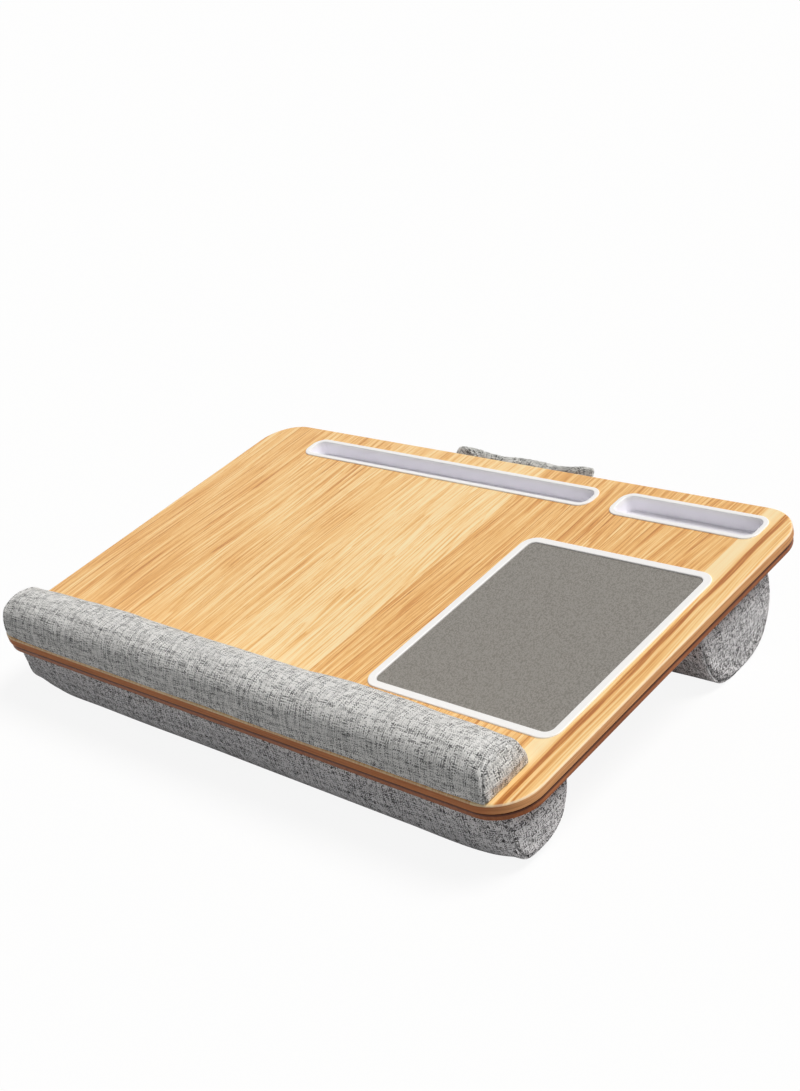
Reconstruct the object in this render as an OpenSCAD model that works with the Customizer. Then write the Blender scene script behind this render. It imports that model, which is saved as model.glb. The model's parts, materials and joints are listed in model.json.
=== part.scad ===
// Lap desk: a two-layer board standing on two stuffed bolsters, with a wrist rest, a pad for a mouse,
// a phone tray, a tablet tray and a carry strap. Millimetres, +Z up, +X to the right, +Y to the back.
// The pieces are drawn on the flat board, whose top face is z = 0 and whose front edge is y = 0, and
// place() then leans the board back until both bolsters touch the floor.

/* [Board] */
// Width of the board, left to right
board_w = 520; // [430:1:630]
// Depth of the board, front to back
board_d = 333; // [275:1:405]
// Corner radius of the board seen from above
corner_r = 31; // [20:1:45]
// Thickness of the top board
top_t = 7.2; // [5.5:0.1:10]
// Thickness of the base board below it
base_t = 4.6; // [3.6:0.1:6]
// Height of the dark gap between the edges of the two boards
shadow_gap = 1; // [0.6:0.1:1.5]
// How far the base board stands back from the edge of the top board
base_inset = 1; // [0.5:0.1:3]
// Radius of the rounded upper edge of the top board
edge_round = 1.8; // [0.8:0.1:3]

/* [Trays] */
// Width of the phone tray over its rim
phone_w = 123; // [90:1:150]
// Depth of the phone tray over its rim, front to back
phone_d = 29.5; // [24:0.5:36]
// Depth of the tablet tray over its rim, front to back
tablet_d = 25.5; // [21:0.5:31]
// Space from the board's right edge to the phone tray
phone_margin = 19.5; // [12:0.5:30]
// Space from the board's back edge to the phone tray
tray_back_margin = 12.5; // [10:0.5:20]
// Wood between the two trays
tray_gap = 18; // [12:0.5:40]
// Space from the board's left edge to the tablet tray
tablet_margin = 59.5; // [30:0.5:90]
// Corner radius of a tray's rim
tray_r = 10.5; // [8:0.5:12]
// Width of a tray's rim
tray_rim_w = 4; // [3.4:0.1:6]
// Wall and floor thickness of a tray
tray_wall = 1.5; // [1:0.1:2.2]

/* [Mouse pad] */
// Width of the pad over its white frame
pad_w = 159; // [120:1:191]
// Space from the board's right edge to the frame
pad_margin = 18.5; // [12:0.5:40]
// Wood between the wrist rest and the frame
pad_front_gap = 16; // [6:0.5:25]
// Wood between the frame and the phone tray
pad_back_gap = 42.5; // [20:0.5:60]
// Corner radius of the frame
pad_r = 12; // [9:0.5:16]
// Width of the frame
frame_w = 6; // [5:0.1:8]
// How far the frame and the tray rims stand above the wood
rim_h = 0.9; // [0.5:0.1:1.5]
// How far the leather lies below the wood
leather_drop = 0.2; // [0:0.1:0.8]
// Thickness of the leather sheet
leather_t = 1.2; // [0.8:0.1:1.6]
// Thickness of the backing sheet under the leather
backing_t = 1; // [0.8:0.1:1.5]

/* [Wrist rest] */
// Depth of the wrist rest, front to back
rest_d = 47; // [39:1:60]
// Height of the wrist rest
rest_h = 28; // [21:1:36]
// Space from the board's side edges to the ends of the wrist rest
rest_margin = 20; // [12:1:40]
// Space from the board's front edge to the wrist rest
rest_front = 0.5; // [0.5:0.5:8]

/* [Bolsters] */
// Height of the front bolster below the board
front_h = 47; // [39:1:60]
// Depth of the front bolster, front to back
front_d = 62.5; // [50:0.5:75]
// Space from the board's front edge to the front bolster
front_setback = 5; // [3:0.5:15]
// Height of the rear bolster below the board
rear_h = 62; // [52:1:78]
// Depth of the rear bolster, front to back
rear_d = 87; // [70:1:105]
// Space from the board's back edge to the rear bolster
rear_setback = 34.5; // [28:0.5:50]
// Space from the board's side edges to the ends of the bolsters
bolster_margin = 15; // [8:1:40]
// Thickness of the cover cloth with its wadding
cover_t = 2.4; // [1.6:0.1:4]
// Thickness of the plywood strip inside a bolster
ply_t = 5; // [4:0.5:8]

/* [Carry strap] */
// Width of the strap over its two ends
strap_span = 137; // [120:1:180]
// Width of the flat cloth at each end of the strap
strap_w = 24; // [23:1:34]
// Width of the gathered grip
grip_w = 11; // [8:0.5:14]
// Thickness of the gathered grip
grip_t = 8; // [6:0.5:10]
// Distance of the grip's centre line behind the board at mid-span
strap_reach = 16; // [14:0.5:24]
// Thickness of the flat cloth
cloth_t = 1.8; // [1.2:0.1:2.4]

/* [Fasteners] */
// Diameter of the wood screws
screw_d = 3; // [2.5:0.1:3.5]
// Diameter of the screw heads
screw_head_d = 5.8; // [5:0.1:6.4]
// Staples along each long side of a cushion
staples_long = 7; // [4:1:10]

/* [Hidden] */

curve_fn = 96;
hole_fn = 32;
fit_gap = 0.15;

// Heights of the board's layers
board_t = top_t + shadow_gap + base_t;
base_top = -top_t - shadow_gap;
pad_floor = -leather_drop - leather_t - backing_t;
gap_depth = 5;
base_edge_round = 0.9;
lower_round = 0.8;

// Outlines of the inserts, as [left, right, front, back]
phone_box = [
    board_w / 2 - phone_margin - phone_w, board_w / 2 - phone_margin,
    board_d - tray_back_margin - phone_d, board_d - tray_back_margin
];
tray_yc = (phone_box[2] + phone_box[3]) / 2;
tablet_box = [-board_w / 2 + tablet_margin, phone_box[0] - tray_gap, tray_yc - tablet_d / 2, tray_yc + tablet_d / 2];
pad_box = [
    board_w / 2 - pad_margin - pad_w, board_w / 2 - pad_margin,
    rest_front + rest_d + pad_front_gap, phone_box[2] - pad_back_gap
];
tray_overhang = tray_rim_w - tray_wall;
frame_overhang = 1.5;

// Cushions at mid-length: [front half depth, back half depth, height, front exponent, back exponent],
// and how much of the first three is left at their ends
rest_shape = [rest_d * 0.48, rest_d * 0.52, rest_h, 2.5, 2.5];
rest_ends = [0.95, 0.88, 0.887];
front_shape = [front_d * 0.456, front_d * 0.544, front_h, 4, 2.2];
front_ends = [0.84, 0.98, 0.868];
rear_shape = [rear_d * 0.46, rear_d * 0.54, rear_h, 4, 2.45];
rear_ends = [0.98, 0.98, 0.988];
rest_yc = rest_front + rest_shape[0];
front_yc = front_setback + front_shape[0];
rear_yc = board_d - rear_setback - rear_shape[1];
rest_len = board_w - 2 * rest_margin;
bolster_len = board_w - 2 * bolster_margin;

// Each cushion is full from this far off its ends, and its end seams are rounded by this much
full_from = 70;
seam_round = 1.8;
cap_bulge = 3.2;
floor_cut = 0.5;

// Hems and what holds them
hem_t = 1;
hem_w = 9;
strip_t = 2;
tape_t = 0.8;
tape_w = 12;
staple_w = 10;
staple_wire = 0.6;
ply_leg = 3.4;
strip_leg = 1.6;

// Screws
screw_tip = 3.2;
countersink = (screw_head_d - screw_d) / 2;
screw_row_gap = 14;
washer_t = 0.8;
washer_d = 9;
pan_h = 1.8;

// Strap
hinge_gap = 0.3;
hinge_y = board_d + hinge_gap + cloth_t / 2;
hinge_z = -board_t - cloth_t / 2;
tab_len = 22;
grip_z = hinge_z + 2.2;
grip_bow = 2.5;
flare = 7;
gather_len = 16;
anchor_x = strap_span / 2 - strap_w / 2;
strap_screw_x = 6.5;
strap_screw_y = (phone_box[3] - tray_overhang + board_d - base_inset) / 2;

// Points of a cushion's round side, with angle 0 at the front and 180 at the back
function shape_point(shape, angle) = [
    cos(angle) > 0 ? -shape[0] * pow(cos(angle), 2 / shape[3]) : shape[1] * pow(-cos(angle), 2 / shape[4]),
    -shape[2] * pow(sin(angle), 2 / (cos(angle) > 0 ? shape[3] : shape[4]))
];

// The lean at which the two bolsters reach down to the same height, found by halving
function height_at(p, yc, lean) = (yc + p[0]) * sin(lean) + (p[1] - board_t) * cos(lean);
function lowest(shape, yc, lean) =
    min([for (angle = [0:3:180]) height_at(shape_point(shape, angle), yc, lean)]);
function sinks_in_front(lean) = lowest(front_shape, front_yc, lean) < lowest(rear_shape, rear_yc, lean);
function find_lean(low, high, steps) =
    steps == 0 ? (low + high) / 2
    : sinks_in_front((low + high) / 2) ? find_lean(low, (low + high) / 2, steps - 1)
    : find_lean((low + high) / 2, high, steps - 1);
lean = find_lean(-8, 20, 30);
lift = -lowest(front_shape, front_yc, lean) - floor_cut;

// The part's origin is midway between the board's front edge and the back of the strap
function lean_y(y, z) = y * cos(lean) - z * sin(lean);
shift_y = -(lean_y(0, -edge_round) + lean_y(board_d + strap_reach + grip_w / 2, grip_z)) / 2;

module place() {
    translate([0, shift_y, lift])
        rotate([lean, 0, 0])
            children();
}

// Flat outlines and plates

function inset_box(b, by) = [b[0] + by, b[1] - by, b[2] + by, b[3] - by];

module round_rect(b, r) {
    translate([b[0] + r, b[2]]) square([b[1] - b[0] - 2 * r, b[3] - b[2]]);
    translate([b[0], b[2] + r]) square([b[1] - b[0], b[3] - b[2] - 2 * r]);
    for (x = [b[0] + r, b[1] - r], y = [b[2] + r, b[3] - r])
        translate([x, y]) circle(r, $fn = curve_fn);
}

module plate(b, r, z0, z1) {
    translate([0, 0, z0])
        linear_extrude(z1 - z0)
            round_rect(b, r);
}

// A bead that follows a rounded rectangle; its section is drawn outwards from the corners' centres
module bead(b, r, section) {
    corners = [[b[1] - r, b[3] - r], [b[0] + r, b[3] - r], [b[0] + r, b[2] + r], [b[1] - r, b[2] + r]];
    sides = [b[3] - b[2] - 2 * r, b[1] - b[0] - 2 * r];
    for (i = [0:3])
        translate(corners[i])
            rotate(90 * i) {
                rotate_extrude(angle = 90, $fn = curve_fn) polygon(section);
                rotate([90, 0, 0]) linear_extrude(sides[i % 2]) polygon(section);
            }
}

// What a rounded upper edge takes off a plate whose corners have radius r
function edge_section(r, e) = concat(
    [for (a = [0:15:90]) [r - e + e * cos(a), -e + e * sin(a)]],
    [[r - e, 1], [r + 1, 1], [r + 1, -e]]
);

// A rim with soft edges, w wide, h high above the wood, whose wall of thickness t goes down to z = foot
function rim_section(r, w, h, t, foot) = let (c = h * 0.8) concat(
    [for (a = [0:22.5:90]) [r - c + c * cos(a), h - c + c * sin(a)]],
    [for (a = [90:-22.5:0]) [r - w + c - c * cos(a), h - c + c * sin(a)]],
    [[r - w, foot], [r - w + t, foot], [r - w + t, 0], [r, 0]]
);

// Board

function base_screw_places() = [
    for (y = [front_setback + front_d + screw_row_gap, rear_yc - rear_shape[0] - screw_row_gap])
        for (x = [-board_w / 2 + 16, -board_w / 6, board_w / 6, board_w / 2 - 16])
            [x, y],
    for (side = [-1, 1]) [side * (board_w - phone_margin) / 2, board_d - corner_r - 9]
];

function bolster_screw_places(shape, yc) = [
    for (i = [0:3]) [(i - 1.5) * (bolster_len - 90) / 3, yc + (shape[1] - shape[0]) / 2]
];

function strap_screw_places() = [
    for (side = [-1, 1], dx = [-strap_screw_x, strap_screw_x]) [side * anchor_x + dx, strap_screw_y]
];

// A countersunk wood screw whose head is flush at z = 0 and which points up
module wood_screw(length) {
    cylinder(h = countersink, d1 = screw_head_d, d2 = screw_d, $fn = hole_fn);
    cylinder(h = length, d = screw_d, $fn = hole_fn);
}

module drill(places, z0, z1) {
    for (p = places)
        translate([p[0], p[1], z0])
            cylinder(h = z1 - z0, d = screw_d, $fn = hole_fn);
}

module tray_hole(b) {
    plate(inset_box(b, tray_overhang - fit_gap), tray_r - tray_overhang + fit_gap, -board_t - 1, 1);
}

module top_board() {
    board_box = [-board_w / 2, board_w / 2, 0, board_d];
    color("#E8BE82")
        place()
            difference() {
                plate(board_box, corner_r, -top_t, 0);
                bead(board_box, corner_r, edge_section(corner_r, edge_round));
                translate([0, 0, -top_t])
                    mirror([0, 0, 1])
                        bead(board_box, corner_r, edge_section(corner_r, lower_round));
                tray_hole(phone_box);
                tray_hole(tablet_box);
                plate(inset_box(pad_box, frame_overhang - fit_gap), pad_r - frame_overhang + fit_gap, pad_floor, 1);
                drill(concat(base_screw_places(), strap_screw_places()), -top_t - 1, -screw_tip);
            }
}

module base_board() {
    outer = [-board_w / 2 + base_inset, board_w / 2 - base_inset, base_inset, board_d - base_inset];
    color("#9A6A4A")
        place()
            difference() {
                union() {
                    plate(outer, corner_r - base_inset, -board_t, base_top);
                    plate(inset_box(outer, gap_depth), corner_r - base_inset - gap_depth, -board_t, -top_t);
                }
                translate([0, 0, -board_t])
                    mirror([0, 0, 1])
                        bead(outer, corner_r - base_inset, edge_section(corner_r - base_inset, base_edge_round));
                tray_hole(phone_box);
                tray_hole(tablet_box);
                drill(strap_screw_places(), -board_t - 1, 0);
                for (p = base_screw_places())
                    translate([p[0], p[1], -board_t]) wood_screw(board_t);
                for (p = all_bolster_screws())
                    translate([p[0], p[1], -top_t]) mirror([0, 0, 1]) wood_screw(board_t);
            }
}

function all_bolster_screws() =
    concat(bolster_screw_places(front_shape, front_yc), bolster_screw_places(rear_shape, rear_yc));

module board_screws() {
    color("#8A8A8C")
        place()
            for (p = base_screw_places())
                translate([p[0], p[1], -board_t]) wood_screw(board_t - screw_tip);
}

module bolster_screws() {
    reach = base_t + shadow_gap + hem_t + ply_t - 0.8;
    color("#8A8A8C")
        place()
            for (p = all_bolster_screws())
                translate([p[0], p[1], -top_t]) mirror([0, 0, 1]) wood_screw(reach);
}

// Pad for the mouse

module pad_frame() {
    color("#F8F7F5")
        place()
            bead(pad_box, pad_r, rim_section(pad_r, frame_w, rim_h, frame_w - frame_overhang, pad_floor));
}

module pad_leather() {
    color("#948F87")
        place()
            plate(inset_box(pad_box, frame_w + fit_gap), pad_r - frame_w, pad_floor + backing_t, -leather_drop);
}

module pad_backing() {
    color("#6E6A63")
        place()
            plate(inset_box(pad_box, frame_w + fit_gap), pad_r - frame_w, pad_floor, pad_floor + backing_t);
}

// Trays

module tray(b) {
    color("#F6F5F4")
        place() {
            difference() {
                plate(inset_box(b, tray_overhang), tray_r - tray_overhang, -board_t, 0);
                plate(inset_box(b, tray_rim_w), tray_r - tray_rim_w, -board_t + tray_wall, 1);
            }
            bead(b, tray_r, rim_section(tray_r, tray_rim_w, rim_h, tray_wall, -2));
        }
}

module phone_tray() {
    tray(phone_box);
}

module tablet_tray() {
    tray(tablet_box);
}

// Cushions: a loft of D-shaped rings along x, whose flat side is z = 0 and whose round side hangs down

function mix(a, b, s) = a + (b - a) * s;
function flip(list) = [for (i = [len(list) - 1:-1:0]) list[i]];

function shape_at(shape, ends, depth_in) =
    let (full = 1 - pow(1 - min(depth_in, full_from) / full_from, 3))
    [for (i = [0:4]) i < 3 ? shape[i] * mix(ends[i], 1, full) : shape[i]];

// A ring's points, shrunk by some millimetres all round, and its flat side in even steps
function d_ring(shape, shrink, curve_n, flat_n) =
    let (s = [shape[0] - shrink, shape[1] - shrink, shape[2] - shrink, shape[3], shape[4]])
    concat(
        [for (i = [0:curve_n]) shape_point(s, 180 * i / curve_n)],
        [for (i = [1:flat_n - 1]) [mix(s[1], -s[0], i / flat_n), 0]]
    );

// Stations from an end to the middle: [distance in from the end, shrink of the ring]
function stations(length, fine) = fine
    ? [[0, seam_round], [1, seam_round * 0.35], [3, 0], [9, 0], [18, 0], [30, 0], [46, 0], [70, 0], [120, 0], [length / 2, 0]]
    : [[0, 0], [8, 0], [22, 0], [44, 0], [70, 0], [length / 2, 0]];

// Rings of the end cap: [scale towards the cap's centre, bulge]
function cap_rings(fine) = fine ? [[0.42, 0.92], [0.78, 0.6]] : [[0.6, 0.5]];

function cushion_rings(shape, ends, length, inset, fine) =
    let (
        curve_n = fine ? 20 : 12,
        flat_n = fine ? 4 : 2,
        st = stations(length - 2 * inset, fine),
        half = length / 2 - inset,
        bulge = max(cap_bulge - inset * 0.5, 0.5),
        end = d_ring(shape_at(shape, ends, 0), inset + st[0][1], curve_n, flat_n),
        mid_z = -shape[2] * ends[2] * 0.45,
        caps = [
            for (c = cap_rings(fine))
                [for (p = end) [half + bulge * c[1], p[0] * c[0], mix(mid_z, p[1], c[0])]]
        ],
        sides = [
            for (s = st)
                [for (p = d_ring(shape_at(shape, ends, s[0]), inset + s[1], curve_n, flat_n)) [half - s[0], p[0], p[1]]]
        ],
        right = concat(caps, sides),
        left = [for (ring = right) [for (p = ring) [-p[0], p[1], p[2]]]]
    )
    concat(left, flip([for (i = [0:len(right) - 2]) right[i]]));

// One closed solid from rings that turn about their path, closed by a point beyond each end ring
module loft(rings, first, last) {
    n = len(rings);
    m = len(rings[0]);
    points = concat([for (ring = rings) each ring], [first, last]);
    faces = concat(
        [for (i = [0:n - 2], j = [0:m - 1])
            each [
                [i * m + j, (i + 1) * m + j, (i + 1) * m + (j + 1) % m],
                [i * m + j, (i + 1) * m + (j + 1) % m, i * m + (j + 1) % m]
            ]
        ],
        [for (j = [0:m - 1]) [n * m, j, (j + 1) % m]],
        [for (j = [0:m - 1]) [n * m + 1, (n - 1) * m + (j + 1) % m, (n - 1) * m + j]]
    );
    polyhedron(points, faces);
}

module cushion(shape, ends, length, inset, fine) {
    bulge = max(cap_bulge - inset * 0.5, 0.5);
    tip = [length / 2 - inset + bulge, 0, -shape[2] * ends[2] * 0.45];
    loft(cushion_rings(shape, ends, length, inset, fine), [-tip[0], tip[1], tip[2]], tip);
}

// The form's inside, below the hem
module hollow(shape, ends, length, inset) {
    lower = [shape[0], shape[1], shape[2] - hem_t, shape[3], shape[4]];
    translate([0, 0, -hem_t])
        cushion(lower, ends, length, inset, false);
}

// The flat strip that a cover is stapled to, as [left, right, front, back] about the cushion's centre
function strip_box(shape, ends, length, gap) =
    let (side = cover_t + gap)
    [-length / 2 + side + 2, length / 2 - side - 2, -shape[0] * ends[0] + side, shape[1] * ends[1] - side];

function staple_places(b) =
    let (x = b[1] - hem_w / 2, rows = [b[2] + hem_w / 2, b[3] - hem_w / 2])
    concat(
        [for (y = rows, i = [0:staples_long - 1]) [mix(-x + 20, x - 20, i / (staples_long - 1)), y, 0]],
        [for (end = [-x, x]) [end, (b[2] + b[3]) / 2, 90]]
    );

module staples(b, leg) {
    for (p = staple_places(b))
        translate([p[0], p[1], 0])
            rotate(p[2]) {
                translate([-staple_w / 2, -staple_wire / 2, -staple_wire])
                    cube([staple_w, staple_wire, staple_wire]);
                for (x = [-staple_w / 2, staple_w / 2 - staple_wire])
                    translate([x, -staple_wire / 2, -hem_t - leg])
                        cube([staple_wire, staple_wire, hem_t + leg - staple_wire / 2]);
            }
}

module cover(shape, ends, length, strip, leg) {
    opening = inset_box(strip, hem_w);
    difference() {
        cushion(shape, ends, length, 0, true);
        hollow(shape, ends, length, cover_t);
        translate([opening[0], opening[2], -hem_t - 1])
            cube([opening[1] - opening[0], opening[3] - opening[2], hem_t + 2]);
        staples(strip, leg);
    }
}

module filling(shape, ends, length, strip, thickness) {
    difference() {
        hollow(shape, ends, length, cover_t + fit_gap);
        translate([-length, -shape[0] * 2, -hem_t - thickness - fit_gap])
            cube([length * 2, (shape[0] + shape[1]) * 2, thickness * 2]);
    }
}

module strip(b, thickness, leg) {
    difference() {
        translate([b[0], b[2], -hem_t - thickness])
            cube([b[1] - b[0], b[3] - b[2], thickness]);
        staples(b, leg);
    }
}

// Wrist rest, which stands on the top face, turned over

rest_strip = strip_box(rest_shape, rest_ends, rest_len, fit_gap + 0.4);

module on_top() {
    place()
        translate([0, rest_yc, 0])
            mirror([0, 0, 1])
                children();
}

module wrist_rest_cover() {
    color("#A9A9A8")
        on_top()
            cover(rest_shape, rest_ends, rest_len, rest_strip, strip_leg);
}

module wrist_rest_foam() {
    color("#D8D4CA")
        on_top()
            filling(rest_shape, rest_ends, rest_len, rest_strip, strip_t);
}

module wrist_rest_strip() {
    color("#B08A62")
        on_top()
            strip(rest_strip, strip_t, strip_leg);
}

module wrist_rest_staples() {
    color("#9A9A9C")
        on_top()
            staples(rest_strip, strip_leg);
}

module wrist_rest_tape() {
    opening = inset_box(rest_strip, hem_w);
    color("#E0DCD0")
        on_top()
            for (side = [-1, 1])
                translate([side > 0 ? 20 : opening[0] + 4, (opening[2] + opening[3] - tape_w) / 2, -hem_t])
                    cube([opening[1] - 24, tape_w, hem_t]);
}

// Bolsters, which hang from the base board

module under(yc) {
    place()
        translate([0, yc, -board_t])
            children();
}

module on_floor() {
    difference() {
        children();
        translate([-board_w, -board_d, -100])
            cube([board_w * 2, board_d * 2, 100]);
    }
}

front_strip = strip_box(front_shape, front_ends, bolster_len, fit_gap + 0.4);
rear_strip = strip_box(rear_shape, rear_ends, bolster_len, fit_gap + 0.4);

module front_bolster_cover() {
    color("#9C9A9E")
        on_floor()
            under(front_yc)
                cover(front_shape, front_ends, bolster_len, front_strip, ply_leg);
}

module front_bolster_filling() {
    color("#D8D4CA")
        under(front_yc)
            filling(front_shape, front_ends, bolster_len, front_strip, ply_t);
}

module front_bolster_ply() {
    color("#B08A62")
        difference() {
            under(front_yc) strip(front_strip, ply_t, ply_leg);
            place() drill(bolster_screw_places(front_shape, front_yc), -board_t - hem_t - ply_t + 0.8, -board_t);
        }
}

module front_bolster_staples() {
    color("#9A9A9C")
        under(front_yc)
            staples(front_strip, ply_leg);
}

module rear_bolster_cover() {
    color("#9C9A9E")
        on_floor()
            under(rear_yc)
                cover(rear_shape, rear_ends, bolster_len, rear_strip, ply_leg);
}

module rear_bolster_filling() {
    color("#D8D4CA")
        under(rear_yc)
            filling(rear_shape, rear_ends, bolster_len, rear_strip, ply_t);
}

module rear_bolster_ply() {
    color("#B08A62")
        difference() {
            under(rear_yc) strip(rear_strip, ply_t, ply_leg);
            place() drill(bolster_screw_places(rear_shape, rear_yc), -board_t - hem_t - ply_t + 0.8, -board_t);
        }
}

module rear_bolster_staples() {
    color("#9A9A9C")
        under(rear_yc)
            staples(rear_strip, ply_leg);
}

// Carry strap: flat cloth that comes out from under the board, fans round a corner and gathers to a grip

pivot = [strap_span / 2 - strap_w, hinge_y + 1.5, hinge_z];
fan_y = strap_reach - (hinge_y - board_d) - grip_bow + grip_w / 2 - 1.5;

function grip_y(x) = board_d + strap_reach - grip_bow * pow(x / pivot[0], 2);

// A ring across the cloth between two points, which turns about the strap's path
function cloth_ring(inner, outer, thickness) = [
    for (i = [0:11])
        let (
            a = 360 * i / 12,
            across = (1 + sign(cos(a)) * pow(abs(cos(a)), 0.6)) / 2,
            p = mix(inner, outer, across)
        )
        [p[0], p[1], p[2] - sign(sin(a)) * pow(abs(sin(a)), 0.7) * thickness / 2]
];

function fan_ring(a) = cloth_ring(
    pivot,
    [
        pivot[0] + strap_w * pow(cos(a), 0.5), pivot[1] + fan_y * pow(sin(a), 0.5),
        mix(hinge_z, grip_z, sin(a)) + flare * sin(2 * a)
    ],
    cloth_t
);

function gather_ring(s) =
    let (x = pivot[0] - gather_len * s, e = s * s * (3 - 2 * s))
    cloth_ring(
        [x, mix(pivot[1], grip_y(x) - grip_w / 2, e), mix(hinge_z, grip_z, e)],
        [x, mix(pivot[1] + fan_y, grip_y(x) + grip_w / 2, e), grip_z],
        mix(cloth_t, grip_t, e)
    );

function hem_ring(y, thickness) =
    cloth_ring([pivot[0], y, hinge_z], [pivot[0] + strap_w, y, hinge_z], thickness);

function grip_ring(x) =
    cloth_ring([x, grip_y(x) - grip_w / 2, grip_z], [x, grip_y(x) + grip_w / 2, grip_z], grip_t);

function strap_half() = concat(
    [hem_ring(hinge_y - cloth_t / 2, cloth_t * 0.3), hem_ring(hinge_y, cloth_t)],
    [for (a = [0:15:90]) fan_ring(a)],
    [for (s = [0.25:0.25:1]) gather_ring(s)],
    [for (i = [1:2]) grip_ring((pivot[0] - gather_len) * (1 - i / 3))]
);

module carry_strap() {
    half = strap_half();
    other = [for (ring = half) [for (p = ring) [-p[0], p[1], p[2]]]];
    rings = concat(half, [grip_ring(0)], flip(other));
    end = [anchor_x, hinge_y - cloth_t / 2, hinge_z];
    color("#A2A4A2")
        place()
            loft(rings, end, [-end[0], end[1], end[2]]);
}

module strap_tabs() {
    back = hinge_y - cloth_t / 2 - hinge_gap;
    color("#A2A4A2")
        place()
            difference() {
                for (side = [-1, 1])
                    translate([side * anchor_x - strap_w / 2, back - tab_len, -board_t - cloth_t])
                        cube([strap_w, tab_len, cloth_t]);
                drill(strap_screw_places(), -board_t - cloth_t - 1, 0);
            }
}

module strap_washers() {
    color("#B4B4B6")
        place()
            for (p = strap_screw_places())
                translate([p[0], p[1], -board_t - cloth_t - washer_t])
                    difference() {
                        cylinder(h = washer_t, d = washer_d, $fn = hole_fn);
                        translate([0, 0, -1]) cylinder(h = washer_t + 2, d = screw_d, $fn = hole_fn);
                    }
}

module strap_screws() {
    head_z = -board_t - cloth_t - washer_t;
    color("#8A8A8C")
        place()
            for (p = strap_screw_places())
                translate([p[0], p[1], head_z]) {
                    translate([0, 0, -pan_h]) cylinder(h = pan_h, d1 = screw_head_d * 0.8, d2 = screw_head_d, $fn = hole_fn);
                    cylinder(h = -screw_tip - head_z, d = screw_d, $fn = hole_fn);
                }
}

top_board();
base_board();
board_screws();
pad_frame();
pad_leather();
pad_backing();
phone_tray();
tablet_tray();
wrist_rest_cover();
wrist_rest_foam();
wrist_rest_strip();
wrist_rest_staples();
wrist_rest_tape();
front_bolster_cover();
front_bolster_filling();
front_bolster_ply();
front_bolster_staples();
rear_bolster_cover();
rear_bolster_filling();
rear_bolster_ply();
rear_bolster_staples();
bolster_screws();
strap_tabs();
carry_strap();
strap_washers();
strap_screws();
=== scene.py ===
# %% [markdown]
# A lap desk, dressed for the camera.
# The construction is already drawn to size: this lesson loads it as a fixed frame, gives each hard piece its
# finish, and sews the soft pieces anew. Lengths are in metres and the frame is the construction's own:
# +X to the right, +Y to the back, +Z up, with the floor at zero.

# %% Load the frame
import json
import math

import bpy
import numpy as np
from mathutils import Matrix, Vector


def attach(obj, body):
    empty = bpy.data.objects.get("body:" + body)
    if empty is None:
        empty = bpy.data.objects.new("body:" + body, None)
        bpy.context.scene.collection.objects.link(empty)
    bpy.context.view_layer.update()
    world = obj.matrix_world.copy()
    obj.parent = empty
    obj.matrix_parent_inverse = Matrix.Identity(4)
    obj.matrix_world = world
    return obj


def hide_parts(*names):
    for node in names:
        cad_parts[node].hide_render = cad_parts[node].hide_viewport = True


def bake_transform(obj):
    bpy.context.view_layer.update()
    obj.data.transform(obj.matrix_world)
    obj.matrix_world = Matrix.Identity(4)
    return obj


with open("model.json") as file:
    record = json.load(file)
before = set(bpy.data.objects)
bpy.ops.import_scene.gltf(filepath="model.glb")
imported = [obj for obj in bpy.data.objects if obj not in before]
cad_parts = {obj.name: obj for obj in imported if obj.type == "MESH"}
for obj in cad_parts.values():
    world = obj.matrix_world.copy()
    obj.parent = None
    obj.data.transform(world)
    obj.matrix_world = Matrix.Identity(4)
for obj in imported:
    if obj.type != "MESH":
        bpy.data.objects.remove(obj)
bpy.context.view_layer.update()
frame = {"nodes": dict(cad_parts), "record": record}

mm = 0.001

# %% [markdown]
# The board leans back, so a point is easiest to give on the board itself: x across it, y from its front edge
# and h above the wood. The record's mount on the pad gives the lean and one known point. The hinge of the strap
# could give a second point, but one point and the direction are enough.

# %% Board coordinates
pad_mount = next(m for m in frame["record"]["mounts"] if m["name"] == "mouse_top")
normal = Vector(pad_mount["axis"])
lean = math.atan2(-normal.y, normal.z)
to_back = Vector((0, math.cos(lean), math.sin(lean)))
upward = Vector((0, -math.sin(lean), math.cos(lean)))
pad_middle = Vector((0, *pad_mount["pos_m"][1:]))
front_edge = pad_middle - 156 * mm * to_back + 0.2 * mm * upward
board_thick = 12.8 * mm
board_wide, board_deep, corner_round = 520, 333, 31  # of the wooden top, in millimetres


board_axes = np.array([(1, 0, 0), to_back, upward])


def from_board(points):
    """Many points given on the board, as rows of x, y, h."""
    return np.asarray(points) @ board_axes + np.array(front_edge)


def to_board(points):
    """The same the other way round."""
    return (np.asarray(points) - np.array(front_edge)) @ board_axes.T


print("lean in degrees:", round(math.degrees(lean), 2), "front edge height:", round(front_edge.z, 4))

# %% [markdown]
# The camera stands in front of the right corner, above the desk, and is rolled a little, as in the photograph.
# Its place was solved from the corners of the board, the pad and the trays. Typing the solved place and turn
# is simpler and steadier than aiming the camera at an empty.

# %% Camera
bpy.ops.object.select_all(action="DESELECT")
bpy.ops.object.camera_add(
    location=(0.82493, -0.71122, 0.62439),
    rotation=(math.radians(62.965), math.radians(12.148), math.radians(42.271)),
)
camera = bpy.context.object
camera.name = "camera"
camera.data.lens = 55.767
camera.data.sensor_width = 36
camera.data.sensor_fit = "AUTO"
camera.data.clip_start = 0.02
bpy.context.scene.camera = camera
bpy.context.scene.view_settings.view_transform = "Standard"
print("camera is", round(camera.location.length, 3), "m from the desk's middle")

# %% [markdown]
# Soft studio light: a dim even world fills the shadows, and one large lamp from the right and above gives the
# top of the desk the most light, its right side less and its front the least. Together they light a level
# white surface to about white. A second lamp could light the front, but the photograph leaves it dark.

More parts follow.
